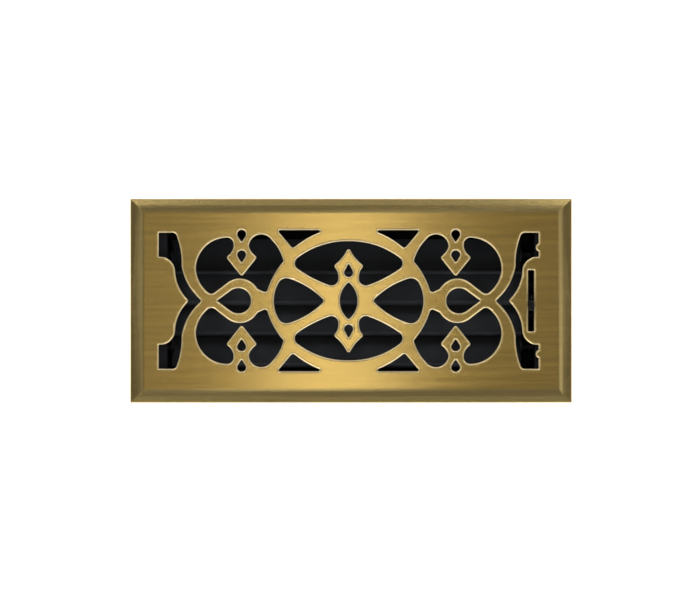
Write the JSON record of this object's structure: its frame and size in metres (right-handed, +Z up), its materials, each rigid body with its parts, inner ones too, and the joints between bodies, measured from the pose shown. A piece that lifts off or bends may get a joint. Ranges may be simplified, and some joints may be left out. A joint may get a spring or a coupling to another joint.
{
  "type": "louvred floor register",
  "caption": "Drop-in floor register: a pressed scrollwork face plate with a bevelled rim over a sheet-steel damper box, whose linked louvre blades open and shut by a lever in an end slot.",
  "frame": {"origin": "middle of the damper box's bottom edge, under the middle of the face plate", "axes": "+Z up out of the face plate, +X along its length towards the lever slot, +Y across its width, away from the rolled edges of the blades"},
  "size_m": [0.2922, 0.135, 0.0505],
  "materials": {
    "antique_brass": "antiqued, brushed lengthwise, lacquered, edges relieved",
    "black_steel": "matt black enamel on sheet steel",
    "blade_enamel": "smooth charcoal enamel on sheet steel",
    "zinc_steel": "zinc plated",
    "blackened_steel": "oil blackened",
    "spring_steel": "oiled spring steel",
    "black_plastic": "moulded, fine texture"
  },
  "bodies": {
    "housing": {"face_grille": "antique_brass", "face_studs": "zinc_steel", "stud_nuts": "zinc_steel", "side_rail_front": "black_steel", "side_rail_back": "black_steel", "end_plate_left": "black_steel", "end_plate_right": "black_steel", "corner_rivets": "zinc_steel", "lever_pivot": "blackened_steel", "friction_washer": "spring_steel"},
    "control_lever": {"control_lever": "black_steel", "lever_cap": "black_plastic", "lever_link_pin": "blackened_steel"},
    "link_bar": {"link_bar": "black_steel", "link_pins": "blackened_steel"},
    "blade_1": {"louvre_blade_1": "blade_enamel", "crank_arm_1": "black_steel", "pivot_pins_1": "blackened_steel"},
    "blade_2": {"louvre_blade_2": "blade_enamel", "crank_arm_2": "black_steel", "pivot_pins_2": "blackened_steel"},
    "blade_3": {"louvre_blade_3": "blade_enamel", "crank_arm_3": "black_steel", "pivot_pins_3": "blackened_steel"},
    "blade_4": {"louvre_blade_4": "blade_enamel", "crank_arm_4": "black_steel", "pivot_pins_4": "blackened_steel"}
  },
  "joints": [
    {"name": "lever_pivot", "type": "hinge", "parent": "housing", "child": "control_lever", "pos_m": [0.1189, 0, 0.022], "axis": [1, 0, 0], "range_deg": [-42, 4]},
    {"name": "link_bar_pivot", "type": "hinge", "parent": "control_lever", "child": "link_bar", "pos_m": [0.1159, 0.0011, 0.01307], "axis": [1, 0, 0], "range_deg": [-4.5, 42.5]},
    {"name": "blade_1_pivot", "type": "hinge", "parent": "housing", "child": "blade_1", "pos_m": [0, -0.03135, 0.022], "axis": [1, 0, 0], "range_deg": [-42.5, 4.5]},
    {"name": "blade_2_pivot", "type": "hinge", "parent": "housing", "child": "blade_2", "pos_m": [0, -0.01045, 0.022], "axis": [1, 0, 0], "range_deg": [-42.5, 4.5]},
    {"name": "blade_3_pivot", "type": "hinge", "parent": "housing", "child": "blade_3", "pos_m": [0, 0.01045, 0.022], "axis": [1, 0, 0], "range_deg": [-42.5, 4.5]},
    {"name": "blade_4_pivot", "type": "hinge", "parent": "housing", "child": "blade_4", "pos_m": [0, 0.03135, 0.022], "axis": [1, 0, 0], "range_deg": [-42.5, 4.5]}
  ],
  "couplings": [
    {"joint": "link_bar_pivot", "follows": "lever_pivot", "ratio": -1},
    {"joint": "blade_1_pivot", "follows": "lever_pivot", "ratio": 1},
    {"joint": "blade_2_pivot", "follows": "lever_pivot", "ratio": 1},
    {"joint": "blade_3_pivot", "follows": "lever_pivot", "ratio": 1},
    {"joint": "blade_4_pivot", "follows": "lever_pivot", "ratio": 1}
  ]
}
